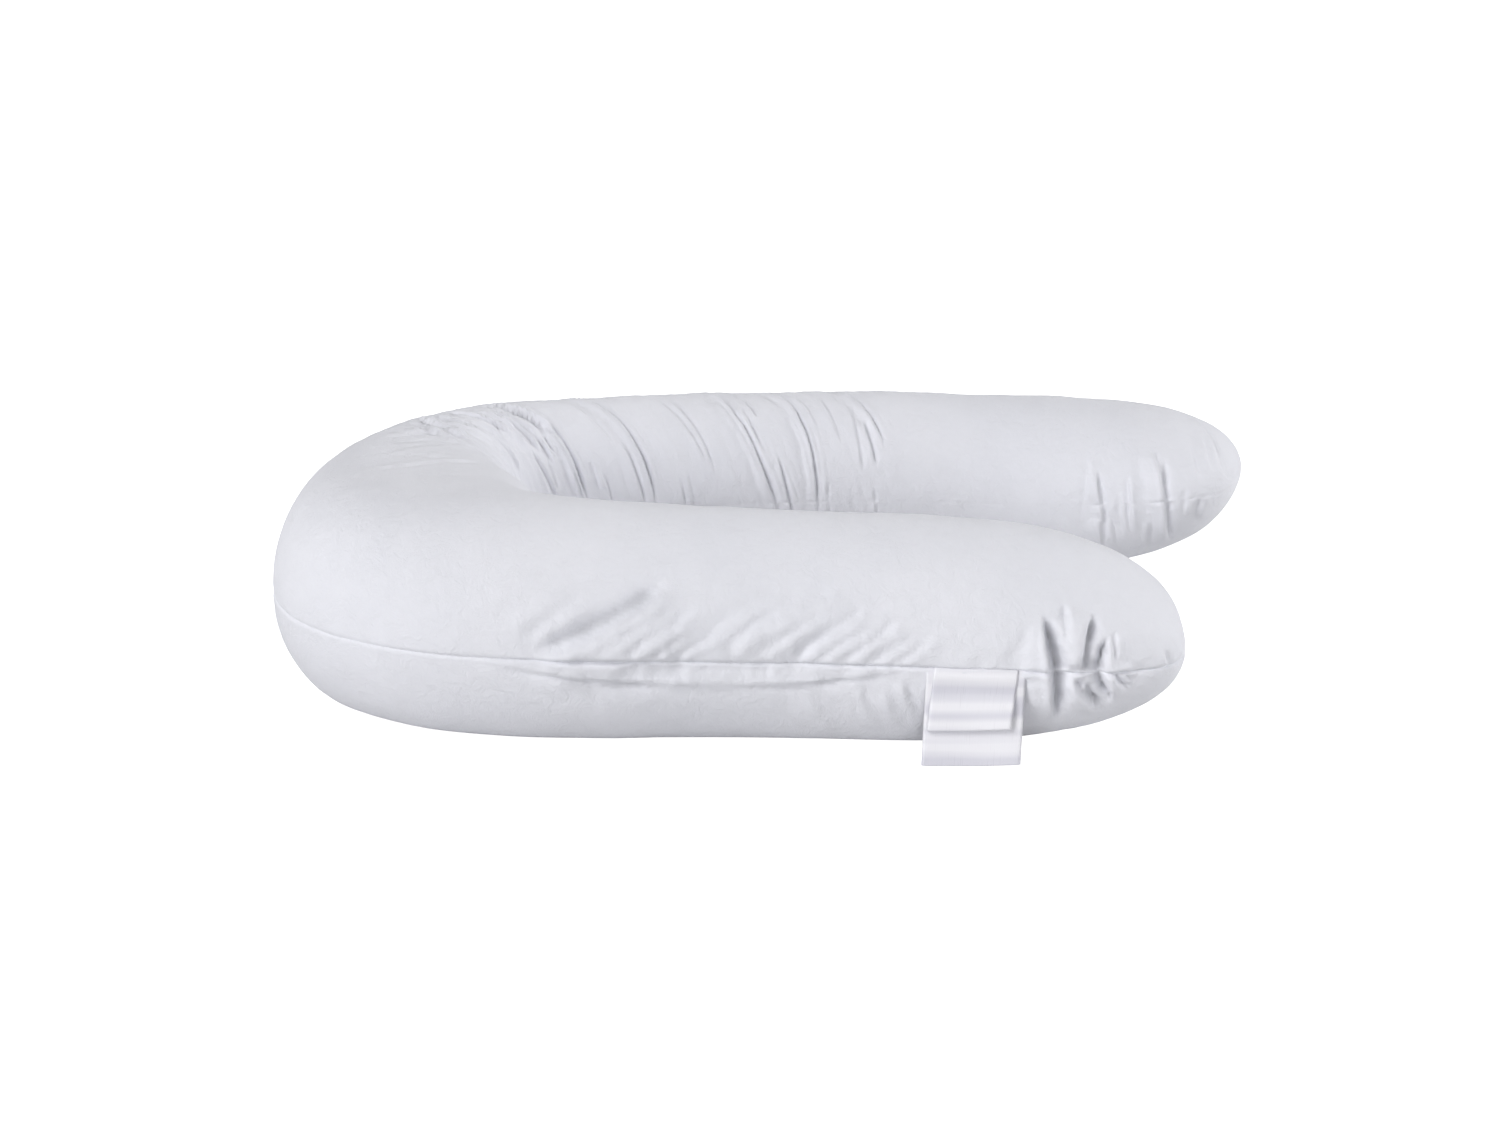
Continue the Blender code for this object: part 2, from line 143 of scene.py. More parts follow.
LEG_DIPS = [
    Fold(0.690, 4, 0.556, 37, -0.005, 0.0117, 0.0095, -0.0104, 0.0),
    Fold(0.640, 3, 0.548, 25, 0.001, 0.0074, 0.0030, -0.0037, 0.0),
    Fold(0.700, 9, 0.640, 30, 0.002, 0.0083, 0.0024, -0.0026, 0.0),
    Fold(0.722, 16, 0.662, 38, 0.003, 0.0101, 0.0022, -0.0023, 0.0),
    Fold(0.604, 3, 0.526, 24, 0.001, 0.0078, 0.0039, -0.0048, 0.0),
    Fold(0.578, 2, 0.536, 13, 0.000, 0.0055, 0.0022, -0.0024, 0.0),
    Fold(0.545, 3, 0.500, 15, 0.000, 0.0060, 0.0024, -0.0024, 0.0),
    Fold(0.520, 12, 0.430, 36, 0.002, 0.0101, 0.0024, -0.0026, 0.0),
    Fold(0.492, 8, 0.410, 33, 0.002, 0.0092, 0.0041, -0.0044, 0.0),
    Fold(0.462, 3, 0.388, 24, 0.001, 0.0069, 0.0022, -0.0024, 0.0),
    Fold(0.454, 15, 0.367, 38, 0.001, 0.0083, 0.0024, -0.0026, 0.0),
    Fold(0.420, 3, 0.340, 27, 0.001, 0.0074, 0.0034, -0.0035, 0.0),
    Fold(0.392, 3, 0.330, 19, 0.001, 0.0055, 0.0024, -0.0024, 0.0),
    Fold(0.366, 2, 0.306, 23, -0.001, 0.0064, 0.0030, -0.0030, 0.0),
    Fold(0.335, 2, 0.290, 15, 0.000, 0.0051, 0.0021, -0.0022, 0.0),
    Fold(0.308, 2, 0.270, 16, 0.000, 0.0051, 0.0021, -0.0022, 0.0),
    Fold(0.300, -9, 0.284, -30, 0.002, 0.0051, 0.0026, 0.0024, 0.0),
    Fold(0.318, -14, 0.296, -40, 0.003, 0.0060, 0.0022, 0.0022, 0.0),
    Fold(0.345, -12, 0.318, -46, 0.003, 0.0069, 0.0019, 0.0020, 0.0),
    Fold(0.400, -18, 0.360, -50, 0.002, 0.0074, 0.0015, 0.0015, 0.0),
]
BEND_WRINKLES = [
    Fold(1.034, 92, 1.178, 124, 0.013, 0.0042, 0.0027, 0.0011, 0.0),
    Fold(0.966, 90, 0.996, 128, -0.008, 0.0051, 0.0023, 0.0009, 0.0),
    Fold(1.036, 107, 0.994, 120, 0.001, 0.0042, 0.0023, 0.0007, 0.0),
    Fold(0.910, 104, 0.882, 114, 0.000, 0.0042, 0.0018, 0.0007, 0.0),
    Fold(1.090, 97, 1.190, 122, 0.008, 0.0042, 0.0019, 0.0007, 0.0),
    Fold(1.120, 93, 1.215, 116, 0.006, 0.0042, 0.0019, 0.0007, 0.0),
    Fold(1.210, 92, 1.174, 126, 0.002, 0.0035, 0.0022, 0.0032, 0.0),
    Fold(1.190, 97, 1.126, 119, 0.006, 0.0035, 0.0018, 0.0026, 0.0),
    Fold(1.240, 84, 1.200, 124, -0.010, 0.0038, 0.0063, 0.0049, 0.0),
    Fold(1.262, 90, 1.243, 120, -0.006, 0.0035, 0.0042, 0.0034, 0.0),
    Fold(1.289, 90, 1.327, 127, -0.010, 0.0038, 0.0072, 0.0055, 0.0),
    Fold(1.316, 115, 1.358, 133, 0.001, 0.0035, 0.0056, 0.0041, 0.0),
    Fold(1.262, 126, 1.296, 152, 0.003, 0.0042, 0.0014, 0.0019, 0.0),
    Fold(1.278, 130, 1.312, 146, 0.001, 0.0039, 0.0011, 0.0014, 0.0),
    Fold(1.338, 90, 1.415, 131, 0.008, 0.0038, 0.0086, 0.0069, 0.0),
    Fold(1.357, 140, 1.396, 172, 0.001, 0.0042, 0.0024, 0.0024, 0.0),
    Fold(1.386, 146, 1.397, 165, 0.000, 0.0034, 0.0014, 0.0015, 0.0),
    Fold(1.399, 131, 1.406, 142, 0.000, 0.0034, 0.0036, 0.0025, 0.0),
    Fold(1.140, 88, 1.214, 119, -0.004, 0.0044, 0.0037, 0.0027, 0.0),
    Fold(1.165, 84, 1.230, 118, -0.006, 0.0044, 0.0040, -0.0032, 0.0),
    Fold(1.222, 82, 1.262, 122, -0.008, 0.0040, 0.0037, -0.0034, 0.0),
    Fold(1.305, 84, 1.352, 124, -0.004, 0.0040, 0.0039, -0.0035, 0.0),
    Fold(1.330, 104, 1.376, 142, 0.002, 0.0040, 0.0037, 0.0028, 0.0),
    Fold(1.250, 100, 1.300, 138, -0.003, 0.0037, 0.0015, 0.0024, 0.0),
    Fold(1.236, 112, 1.280, 144, 0.001, 0.0040, 0.0015, -0.0024, 0.0),
    Fold(1.362, 118, 1.402, 150, 0.002, 0.0041, 0.0026, 0.0020, 0.0),
    Fold(1.340, 97, 1.384, 130, -0.002, 0.0036, 0.0030, 0.0034, 0.0),
    Fold(1.286, 96, 1.304, 125, -0.006, 0.0036, 0.0028, -0.0032, 0.0),
    Fold(1.320, 96, 1.354, 124, -0.004, 0.0034, 0.0022, -0.0028, 0.0),
    Fold(1.197, 95, 1.150, 122, -0.002, 0.0036, 0.0026, 0.0030, 0.0),
    Fold(1.222, 94, 1.184, 122, -0.004, 0.0034, 0.0020, 0.0024, 0.0),
    Fold(1.146, 84, 1.190, 101, 0.000, 0.0036, 0.0014, 0.0022, 0.0),
    Fold(1.040, 98, 0.994, 118, 0.002, 0.0040, 0.0022, 0.0014, 0.0),
]
LEG_CREASES = [
    Fold(1.371, 79, 1.453, 176, 0.009, 0.0037, 0.0074, -0.0045, 0.0),
    Fold(1.431, 152, 1.446, 174, 0.000, 0.0034, 0.0028, -0.0019, 0.0),
    Fold(1.464, 149, 1.476, 168, 0.000, 0.0036, 0.0019, 0.0016, 0.0),
    Fold(1.473, 79, 1.561, 180, 0.016, 0.0035, 0.0064, -0.0039, 0.0),
    Fold(1.468, 97, 1.511, 143, 0.001, 0.0042, 0.0020, -0.0018, 0.0),
    Fold(1.524, 140, 1.545, 178, 0.001, 0.0040, 0.0029, -0.0023, 0.0),
    Fold(1.482, 156, 1.495, 178, 0.000, 0.0031, 0.0024, -0.0016, 0.0),
    Fold(1.606, 94, 1.656, 162, 0.003, 0.0039, 0.0028, -0.0023, 0.0),
    Fold(1.594, 99, 1.644, 155, 0.001, 0.0036, 0.0022, -0.0019, 0.0),
    Fold(1.601, 161, 1.607, 180, 0.000, 0.0034, 0.0016, -0.0013, 0.0),
    Fold(1.613, 158, 1.620, 180, 0.000, 0.0034, 0.0016, -0.0013, 0.0),
    Fold(1.668, 78, 1.752, 188, -0.001, 0.0034, 0.0064, -0.0037, 0.0),
    Fold(1.699, 84, 1.729, 123, 0.001, 0.0034, 0.0041, -0.0026, 0.0),
    Fold(1.706, 110, 1.728, 144, 0.000, 0.0036, 0.0032, -0.0021, 0.0),
    Fold(1.750, 150, 1.772, 190, 0.001, 0.0033, 0.0058, -0.0029, 0.0),
    Fold(1.752, 80, 1.811, 190, 0.016, 0.0033, 0.0064, -0.0036, 0.0),
    Fold(1.787, 95, 1.816, 131, 0.001, 0.0036, 0.0023, -0.0018, 0.0),
    Fold(1.824, 100, 1.851, 143, -0.001, 0.0036, 0.0023, -0.0018, 0.0),
    Fold(1.848, 83, 1.916, 145, 0.005, 0.0034, 0.0059, -0.0036, 0.0),
    Fold(1.886, 126, 1.902, 158, 0.001, 0.0036, 0.0043, -0.0026, 0.0),
    Fold(1.869, 119, 1.883, 162, 0.000, 0.0036, 0.0017, -0.0013, 0.0),
    Fold(1.899, 171, 1.905, 190, 0.000, 0.0036, 0.0019, -0.0014, 0.0),
    Fold(1.826, 166, 1.830, 190, 0.000, 0.0036, 0.0016, -0.0013, 0.0),
]
SEAM_TUCK = [
    Fold(0.730, -4, 0.300, -4, -0.024, 0.0048, 0.0036, 0.0026, 0.0),
]

# What stands beside a fold's trough, in widths of the fold: the lip, its long slope and a faint dip beyond it.
Swell = namedtuple("Swell", "share place spread")
LIP_SWELLS = [
    Swell(1.00, 1.15, 0.72),
    Swell(0.55, 2.6, 1.8),
    Swell(-0.30, 5.2, 1.6),
]

# A trough is sharp up to about this width and rounded from twice as much. A fold reaches this far past its ends.
SHARP_WIDTH = 0.0048
FOLD_MARGIN = 0.09
HIGHEST_FOLD = 0.0100
DEEPEST_FOLD = 0.0240

# The faint lines beside a deep crease, by their distance along the tube from it and their share of its depth.
SideLine = namedtuple("SideLine", "shift share")
SIDE_LINES = [
    SideLine(-0.0125, 0.16),
    SideLine(0.0105, 0.20),
    SideLine(0.0215, 0.10),
]
DEEP_CREASE = 0.004

# Sizes of the filling's lumps and of the cloth's own drag lines, slanting lines, crinkle and gathers.
LUMP_SIZE = 0.11
SMALL_LUMP_SIZE = 0.05
LINE_LENGTH = 0.11
DRAG_SPACING = 0.017
SLANT_SPACING = 0.020
CRINKLE_ALONG = 0.011
CRINKLE_ROUND = 0.014
GATHER_SPACING = 0.0075
GATHER_LENGTH = 0.05
GATHER_REACH = 0.012

# The seam: a thin groove, a low edge under it, and the width over which it holds the folds down.
GROOVE_WIDTH = 0.0017
EDGE_PLACE = 0.0036
EDGE_WIDTH = 0.0016
SEAM_HOLD = 0.55
SEAM_HOLD_WIDTH = 0.0030

# How each label hangs. lean swings its lower end out, ahead sets its top off the seam, fold is the radius of its
# lower edge, and tilt slants it along the seam by that share of its drop.
Label = namedtuple("Label", "piece node lean ahead fold tilt")
LONG_LABEL = Label("satin_label_long", "label_long", 0.016, 0.0, 0.0012, 0.03)
SHORT_LABEL = Label("satin_label_short", "label_short", 0.011, 0.0014, 0.0024, 0.10)
RIBBON_THICKNESS = 0.0004
RIBBON_SET_IN = 0.0002
RIBBON_ABOVE_SEAM = 0.001
RIBBON_TUCK = 0.0040
RIBBON_TUCK_LENGTH = 0.010
RIBBON_CURL = 0.0016
RIBBON_CURL_SHARE = 0.10
RIBBON_DROOP = 0.0028

# The camera looks at a point from this far off, by radians to the right of the front and above the floor.
CAMERA_TARGET = (-0.0575, -0.085, 0.1174)
CAMERA_TURN = -0.003
CAMERA_LIFT = 0.294
CAMERA_REACH = 2.5104
SENSOR_WIDTH = 36
FLOOR_SIZE = 60
SUN_DISTANCE = 3

# Broad even lights, by degrees to the right of the camera's side and above the floor, and how wide each one is.
# The last one shines up through the white floor.
Lamp = namedtuple("Lamp", "name side lift spread strength")
STUDIO_LIGHTS = [
    Lamp("light_left", -50, 45, 32, 1.63),
    Lamp("light_left_low", -56, 12, 35, 0.84),
    Lamp("light_front", 8, 16, 35, 0.84),
    Lamp("light_right", 92, 12, 35, 1.50),
    Lamp("light_behind_right", 120, 22, 45, 1.30),
    Lamp("light_behind_left", -125, 20, 45, 0.55),
    Lamp("light_under", 0, -88, 150, 0.20),
]


def spline(knots, values):
    """A smooth curve through the values, straight at both ends, as a function of the distance."""
    knots = np.array(knots, float)
    values = np.array(values, float)
    step = np.diff(knots)
    count = len(knots)
    left = np.eye(count)
    right = np.zeros(count)
    for row in range(1, count - 1):
        left[row, row - 1] = step[row - 1]
        left[row, row] = 2 * (step[row - 1] + step[row])
        left[row, row + 1] = step[row]
        right[row] = 6 * ((values[row + 1] - values[row]) / step[row] - (values[row] - values[row - 1]) / step[row - 1])
    bend = np.linalg.solve(left, right)

    def at(where):
        where = np.asarray(where, float)
        part = np.clip(np.searchsorted(knots, where) - 1, 0, count - 2)
        ahead = knots[part + 1] - where
        behind = where - knots[part]
        span = step[part]
        curve = (bend[part] * ahead**3 + bend[part + 1] * behind**3) / (6 * span)
        curve += (values[part] / span - bend[part] * span / 6) * ahead
        curve += (values[part + 1] / span - bend[part + 1] * span / 6) * behind
        return curve

    return at


def column(name):
    """One column of the table of sections, as a smooth curve along the tube."""
    return spline([row.along for row in SECTIONS], [getattr(row, name) for row in SECTIONS])


LINE_X = column("x")
LINE_Y = column("y")
HALF_WIDTH = column("half_width")
HEIGHT = column("height")
CROWD_X = column("crowd_x")
CROWD_Y = column("crowd_y")
SQUARE = column("square")


def outward(along):
    """The level direction from the middle line to the outer seam."""
    dx = LINE_X(along + 0.002) - LINE_X(along - 0.002)
    dy = LINE_Y(along + 0.002) - LINE_Y(along - 0.002)
    length = np.hypot(dx, dy)
    return -dy / length, dx / length


def closing(distance, length, power):
    """The share of the full width or height at this distance from a tip."""
    left = 1 - np.clip(distance / length, 0, 1)
    return (1 - left**power) ** (1 / power)


def tip_shares(along):
    """The shares of the full width and of the full height at each distance along the tube."""
    back = TUBE_LENGTH - along
    plan = closing(along, FRONT_TIP, FRONT_POWER_PLAN) * closing(back, BACK_TIP, BACK_POWER_PLAN)
    side = closing(along, FRONT_TIP, FRONT_POWER_SIDE) * closing(back, BACK_TIP, BACK_POWER_SIDE)
    return plan, side


def seam_height(along):
    """The seam's height above the floor at each distance along the tube."""
    share = SEAM_SHARE_FRONT + (SEAM_SHARE_BACK - SEAM_SHARE_FRONT) * along / TUBE_LENGTH
    return share * HEIGHT(along)


def tip_rings(length, power, spacing, end):
    """Distances from a tip at which rings stand: even steps of width over its blunt face, then even steps along."""
    share = np.arange(0.04, 0.62, 0.035)
    face = length * (1 - (1 - share**power) ** (1 / power))
    return np.concatenate([face, np.arange(face[-1] + spacing, end, spacing)])


def stations(fine, plain):
    """Distances along the tube, close together at the tips and in the creased stretch."""
    front = tip_rings(FRONT_TIP, FRONT_POWER_PLAN, fine, FRONT_PUCKERS_END)
    back = TUBE_LENGTH - tip_rings(BACK_TIP, BACK_POWER_PLAN, fine, BACK_PUCKERS_LENGTH)[::-1]
    dipped = np.arange(front[-1] + 1.5 * fine, LEG_DIPS_END, 1.5 * fine)
    smooth = np.arange(dipped[-1] + plain, CREASES_START, plain)
    creased = np.arange(smooth[-1] + fine, CREASES_END, fine)
    rest = np.arange(creased[-1] + plain, back[0] - 0.6 * plain, plain)
    return np.concatenate([front, dipped, smooth, creased, rest, back])


def half_round(steps, power):
    """Angles from one seam to the crown or the base, close together beside the seam."""
    wide = FIRST_STEP_DEGREES + (90 - FIRST_STEP_DEGREES) * np.linspace(0, 1, steps) ** power
    return np.radians(np.concatenate([BESIDE_SEAM_DEGREES, wide]))


def oval_swell(angle, square):
    """How far beyond a plain oval a squarer one reaches, at each angle of each section."""
    power = square[:, None]
    return (np.abs(np.cos(angle))**power + np.abs(np.sin(angle))**power) ** (-1 / power)


def section_grid(along):
    """Points of every section, with the angle round the section of each and its distance from the nearer seam."""
    quarter = half_round(UPPER_STEPS, 1.0)
    upper = np.concatenate([quarter, np.pi - quarter[-2::-1]])
    lower = half_round(LOWER_STEPS, 1.7)[1:]
    spread = np.linspace(-1, 1, 3)
    base_angles = np.full(len(spread), 1.5 * np.pi)
    turn = np.concatenate([upper, np.pi + lower, base_angles, 2 * np.pi - lower[::-1]])
    closer = CROWDING * (2 * gentle(along, CROWDING_FROM, CROWDING_TO) - 1)
    angle = turn[None, :] + closer[:, None] * np.clip(np.sin(turn), 0, 1)[None, :]
    first = len(upper) + len(lower)
    flat_end = np.where(np.arange(len(turn)) < first, -1, 1)[None, :]
    plan, side = tip_shares(along)
    width = (HALF_WIDTH(along) * plan)[:, None]
    flat = FLAT_SHARE * width * side[:, None]
    seam = seam_height(along)[:, None]
    crown = (HEIGHT(along)[:, None] - seam) * side[:, None]
    depth = seam * side[:, None]
    across, rise = np.cos(angle), np.sin(angle)
    swell = np.where((angle > np.pi / 2) & (angle < np.pi), oval_swell(angle, SQUARE(along)), 1)
    offset = np.where(rise >= 0, width * across * swell, flat * flat_end + (width - flat) * across)
    z = np.where(rise >= 0, seam + crown * rise * swell, seam + depth * rise)
    base = slice(first, first + len(spread))
    offset[:, base] = 0.8 * flat * spread[None, :]
    z[:, base] = seam - depth
    out_x, out_y = outward(along)
    inner_share = np.clip(-offset / width, 0, 1)
    x = LINE_X(along)[:, None] + out_x[:, None] * offset + CROWD_X(along)[:, None] * inner_share
    y = LINE_Y(along)[:, None] + out_y[:, None] * offset + CROWD_Y(along)[:, None] * inner_share
    near = np.minimum(np.abs(angle), np.minimum(np.abs(angle - np.pi), np.abs(2 * np.pi - angle)))
    return np.stack([x, y, z], axis=2), angle, near * np.where(rise > 0, crown, depth)


def surface_normals(grid):
    """The outward direction at every point of the grid."""
    lengthwise = np.gradient(grid, axis=0)
    closed = np.concatenate([grid[:, -1:], grid, grid[:, :1]], axis=1)
    crosswise = closed[:, 2:] - closed[:, :-2]
    normals = np.cross(crosswise, lengthwise)
    normals /= np.linalg.norm(normals, axis=2, keepdims=True)
    middle = grid.mean(axis=1, keepdims=True)
    return normals * np.sign(np.sum(normals * (grid - middle), axis=2, keepdims=True))


def wavering(places, seed):
    """Smooth uneven values from about -1 to 1 along a line of places."""
    rng = np.random.default_rng(seed)
    total = np.zeros_like(places)
    for rate in (1.3, 2.9, 5.3):
        total += rng.uniform(0.5, 1.0) / rate**0.6 * np.sin(rate * 2 * np.pi * places + rng.uniform(0, 6.3))
    return total / 1.6


def fold_fade(fold, travel):
    """The share of a fold's full strength along it: faint at both ends, or at its pointed end where it tapers."""
    fade = np.minimum(travel + 0.05, 1.02 - travel) / 0.24
    if fold.taper > 0.3:
        fade = np.minimum(travel / 0.45, (1.04 - travel) / 0.08) + 0.1
    if fold.taper < -0.3:
        fade = np.minimum((travel + 0.04) / 0.08, (1 - travel) / 0.45) + 0.1
    return gentle(fade, 0, 1)


def fold_profile(fold, size, side):
    """The push across a fold: a trough that is steep on the side of its lip, and the lip beside it."""
    towards = side * np.sign(fold.lip)
    softness = np.clip(fold.width / SHARP_WIDTH, 1.2, 2.0)
    slope = np.where(towards > 0, 0.35 * softness, 0.85)
    trough = np.exp(-((np.abs(towards) / (slope * size)) ** softness))
    ridge = np.zeros_like(towards)
    for swell in LIP_SWELLS:
        ridge += swell.share * np.exp(-(((towards - swell.place * size) / (swell.spread * size)) ** 2))
    return abs(fold.lip) * ridge - fold.depth * trough


def fold_push(along, angle, folds, scale):
    """How far the folds push the cloth out, at every point of the grid."""
    push = np.zeros(angle.shape)
    for number, fold in enumerate(folds):
        start = np.radians(fold.from_round) * ROUND_METRES
        end = np.radians(fold.to_round) * ROUND_METRES
        run = np.array([fold.to_along - fold.from_along, end - start])
        length = np.hypot(run[0], run[1])
        run = run / length
        low = min(fold.from_along, fold.to_along) - FOLD_MARGIN
        high = max(fold.from_along, fold.to_along) + FOLD_MARGIN
        rows = np.nonzero((along > low) & (along < high))[0]
        here = angle[rows]
        turned = np.where(here - np.radians(fold.from_round) > np.pi, here - 2 * np.pi, here)
        across = turned * ROUND_METRES - start
        distance = (along[rows] - fold.from_along)[:, None]
        travel = (distance * run[0] + across * run[1]) / length
        side = distance * run[1] - across * run[0]
        side = side * np.sign(run[1] if abs(run[1]) > abs(run[0]) else -run[0])
        inside = np.clip(travel, -0.1, 1.1)
        side = side - fold.bow * 4 * inside * (1 - inside)
        side = side + 0.0006 * wavering(inside * length / 0.10, 11 + number)
        size = fold.width * (1 + fold.taper * (2 * inside - 1))
        size = size * (1 + 0.18 * wavering(inside * length / 0.07, 37 + number))
        strength = 1 + 0.16 * wavering(inside * length / 0.09, 71 + number)
        push[rows] += scale * fold_fade(fold, travel) * strength * fold_profile(fold, size, side)
    return push


def limited(push, highest, deepest):
    """The push, levelling off where folds that cross would add up too high or too deep."""
    limit = np.where(push > 0, highest, deepest)
    return limit * np.tanh(push / limit)


def beside_folds(folds):
    """The folds, each deep one with a faint line on either side."""
    together = list(folds)
    for number, fold in enumerate(folds):
        if fold.depth < DEEP_CREASE:
            continue
        for shift, share in SIDE_LINES:
            sway = 0.003 * np.sin(2.3 * number + 400 * shift)
            together.append(fold._replace(
                from_along=fold.from_along + shift + sway, to_along=fold.to_along + 0.7 * shift - sway,
                from_round=fold.from_round + 7 + 5 * np.sin(1.7 * number), to_round=fold.to_round - 9,
                depth=share * fold.depth, lip=share * fold.lip, width=0.8 * fold.width))
    return together


def noise_grid(points, scale, seed):
    """Smooth noise from -1 to 1 at every point, with features about 1 / scale long."""
    shift = Vector((seed * 7.31, seed * 3.17, seed * 1.93))
    values = [noise.noise(Vector(point) * scale + shift) for point in points.reshape(-1, 3)]
    return np.array(values).reshape(points.shape[:-1])


def gentle(values, low, high):
    """A soft step from 0 where the values are low to 1 where they are high."""
    share = np.clip((values - low) / (high - low), 0, 1)
    return share * share * (3 - 2 * share)


def cloth_noise(length, around, seed):
    """Smooth noise on the cloth laid flat, by its length and its distance round in sizes of the features."""
    return noise_grid(np.stack([length, around, np.zeros_like(length)], axis=2), 1.0, seed)


def soft_push(along, angle, grid, seam_distance, sizes):
    """The low lumps of the filling, the drag lines of the cloth and the gathers beside the seam."""
    lumps = noise_grid(grid, 1 / LUMP_SIZE, 1) + 0.5 * noise_grid(grid, 1 / SMALL_LUMP_SIZE, 2)
    around = angle * ROUND_METRES
    length = np.repeat(along[:, None], angle.shape[1], axis=1)
    drag, reach = (length - 0.40 * around) / DRAG_SPACING, around / LINE_LENGTH
    lines = cloth_noise(drag, reach, 3) + 0.45 * cloth_noise(drag * 2.3, reach * 1.7, 7)
    slanting = cloth_noise((length + 0.9 * around) / SLANT_SPACING, (around - 0.9 * length) / LINE_LENGTH, 4)
    crinkle = cloth_noise(length / CRINKLE_ALONG, around / CRINKLE_ROUND, 5)
    gathers = cloth_noise(length / GATHER_SPACING, around / GATHER_LENGTH, 6)
    creased = (gentle(along, 0.88, 1.15) * (1 - gentle(along, 1.90, 2.02)))[:, None]
    inner = np.clip(np.sin(angle - 0.6), 0, 1) ** 0.7
    leg = ((1 - gentle(along, 0.62, 0.80)) * gentle(along, 0.05, 0.20))[:, None]
    by_seam = np.exp(-((seam_distance / 0.055) ** 2))
    bend = (gentle(along, 0.90, 1.10) * (1 - gentle(along, 1.38, 1.48)))[:, None]
    push = sizes.lumps * lumps
    push += sizes.drag_lines * lines * (0.12 + (0.75 + 0.50 * bend) * creased * inner)
    push += sizes.drag_lines * slanting * leg * (0.14 + 0.8 * by_seam)
    push += sizes.crinkle * crinkle * (0.35 + 0.65 * by_seam)
    push += sizes.seam_gathers * gathers * np.exp(-((seam_distance / GATHER_REACH) ** 2))
    return push


def seam_push(along, angle, seam_distance, sizes):
    """The sewn groove with the low edge under it, deep on the outer side and faint on the inner one."""
    outer_side = gentle(np.cos(angle), -0.2, 0.2)
    groove = np.exp(-((seam_distance / GROOVE_WIDTH) ** 1.2))
    edge = np.exp(-(((seam_distance - EDGE_PLACE) / EDGE_WIDTH) ** 2)) * (np.sin(angle) < 0)
    worn = (1 - 0.45 * gentle(along, 0.60, 0.90))[:, None]
    beside = gentle(np.abs(np.cos(angle)), 0.50, 0.90)
    return -sizes.seam_groove * worn * beside * (0.14 + 0.86 * outer_side) * (groove - 0.10 * edge)


def crease_shade(push):
    """How much painted shade each point takes: its share of the darker crease colour, by how deep it lies."""
    return 0.62 * gentle(-push, 0.0025, 0.0090) + 0.38 * gentle(-push, 0.0085, 0.0170)


def tube_mesh(rings):
    """Points and faces of the closed tube: four-sided faces between rings and a fan of triangles at each tip."""
    rows, around = rings.shape[:2]
    points = [tuple(point) for point in rings.reshape(-1, 3)]
    tips = []
    for where in (0.0, TUBE_LENGTH):
        points.append((float(LINE_X(where)), float(LINE_Y(where)), float(seam_height(where))))
        tips.append(len(points) - 1)
    faces = []
    for row in range(rows - 1):
        for turn in range(around):
            after = (turn + 1) % around
            faces.append((row * around + turn, row * around + after,
                          (row + 1) * around + after, (row + 1) * around + turn))
    last = (rows - 1) * around
    for turn in range(around):
        after = (turn + 1) % around
        faces.append((tips[0], after, turn))
        faces.append((tips[1], last + turn, last + after))
    return points, faces


def lay_weave(mesh, along, angle):
    """A map in metres, along the tube and round it, for the weave."""
    rows, around = angle.shape
    layer = mesh.uv_layers.new(name="weave")
    places = np.zeros((len(mesh.vertices), 2))
    places[: rows * around, 0] = np.repeat(along, around)
    places[: rows * around, 1] = angle.ravel() * ROUND_METRES
    places[-1, 0] = TUBE_LENGTH
    corners = np.empty(len(mesh.loops), np.int32)
    mesh.loops.foreach_get("vertex_index", corners)
    values = places[corners]
    full = 2 * np.pi * ROUND_METRES
    for face in mesh.polygons:
        span = values[face.loop_start: face.loop_start + face.loop_total]
        if span[:, 1].max() - span[:, 1].min() > full / 2:
            span[span[:, 1] < full / 2, 1] += full
    layer.data.foreach_set("uv", values.astype(np.float32).ravel())


class PillowSizes(bpy.types.PropertyGroup):
    ring_spacing: bpy.props.FloatProperty(
        name="Ring spacing", description="Distance between rings where the cloth is creased", default=0.0024,
        min=0.001, subtype="DISTANCE", unit="LENGTH")
    plain_spacing: bpy.props.FloatProperty(
        name="Plain spacing", description="Distance between rings where the cloth is smooth", default=0.0060,
        min=0.002, subtype="DISTANCE", unit="LENGTH")
    fold_scale: bpy.props.FloatProperty(
        name="Fold depth", description="Depth of the placed folds against their table", default=1.0, min=0.0, max=2.0)
    lumps: bpy.props.FloatProperty(
        name="Lumps", description="Height of the filling's lumps", default=0.0020, subtype="DISTANCE", unit="LENGTH")
    drag_lines: bpy.props.FloatProperty(
        name="Drag lines", description="Height of the cloth's drag lines", default=0.0014, subtype="DISTANCE",
        unit="LENGTH")
    crinkle: bpy.props.FloatProperty(
        name="Crinkle", description="Height of the fine crinkle", default=0.00055, subtype="DISTANCE", unit="LENGTH")
    seam_groove: bpy.props.FloatProperty(
        name="Seam groove", description="Depth of the sewn seam", default=0.0034, subtype="DISTANCE", unit="LENGTH")
    seam_gathers: bpy.props.FloatProperty(
        name="Seam gathers", description="Height of the small gathers beside the seam", default=0.0009,
        subtype="DISTANCE", unit="LENGTH")


